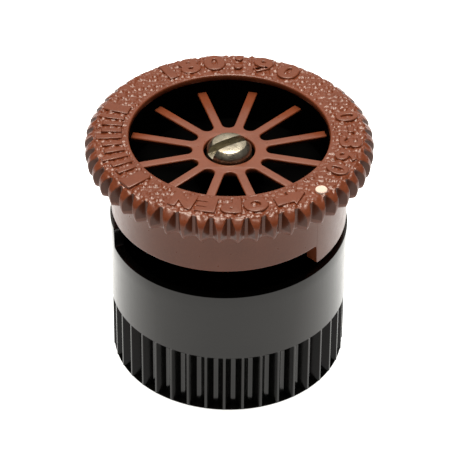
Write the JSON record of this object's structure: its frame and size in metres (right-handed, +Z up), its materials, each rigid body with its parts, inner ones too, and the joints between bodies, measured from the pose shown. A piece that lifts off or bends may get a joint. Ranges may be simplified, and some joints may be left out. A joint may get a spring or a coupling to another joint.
{
  "type": "adjustable arc spray nozzle",
  "caption": "Screw-on spray nozzle for a pop-up sprinkler: knurled black base, toothed brown arc collar with a spoked centre, helical valve edges and a slotted radius screw.",
  "frame": {"origin": "centre of the base's bottom rim, on the nozzle's axis", "axes": "+Z up along the nozzle's axis, out of the collar's top; -Y is the front, inside the open arc"},
  "size_m": [0.028, 0.028, 0.0256],
  "materials": {
    "base_plastic": "satin black moulded plastic",
    "insert_plastic": "black moulded plastic",
    "collar_plastic": "red-brown moulded plastic, pebbled on top",
    "stainless": "turned stainless steel",
    "plug_plastic": "black acetal",
    "ring_steel": "blackened spring steel",
    "seal_rubber": "matt rubber"
  },
  "bodies": {
    "base": {"nozzle_base": "base_plastic", "helix_seat": "insert_plastic"},
    "lift_ring": {"retaining_ring": "ring_steel"},
    "collar": {"arc_collar": "collar_plastic", "spray_deflector": "insert_plastic", "screw_o_ring": "seal_rubber"},
    "plug": {"throttle_plug": "plug_plastic"},
    "screw": {"radius_screw": "stainless"}
  },
  "joints": [
    {"name": "collar_lift", "type": "slide", "parent": "base", "child": "lift_ring", "axis": [0, 0, 1], "range_m": [-0.00072, 0.00147]},
    {"name": "collar_turn", "type": "hinge", "parent": "lift_ring", "child": "collar", "pos_m": [0, 0, 0.0176], "axis": [0, 0, 1], "range_deg": [-118, 240]},
    {"name": "screw_travel", "type": "slide", "parent": "collar", "child": "plug", "axis": [0, 0, 1], "range_m": [-0.002, 0.001]},
    {"name": "screw_turn", "type": "hinge", "parent": "plug", "child": "screw", "pos_m": [0, 0, 0.0109], "axis": [0, 0, 1], "range_deg": [-720, 360]}
  ],
  "couplings": [
    {"joint": "collar_turn", "follows": "collar_lift", "rad_per_m": 2856},
    {"joint": "screw_turn", "follows": "screw_travel", "rad_per_m": 6283.2}
  ]
}
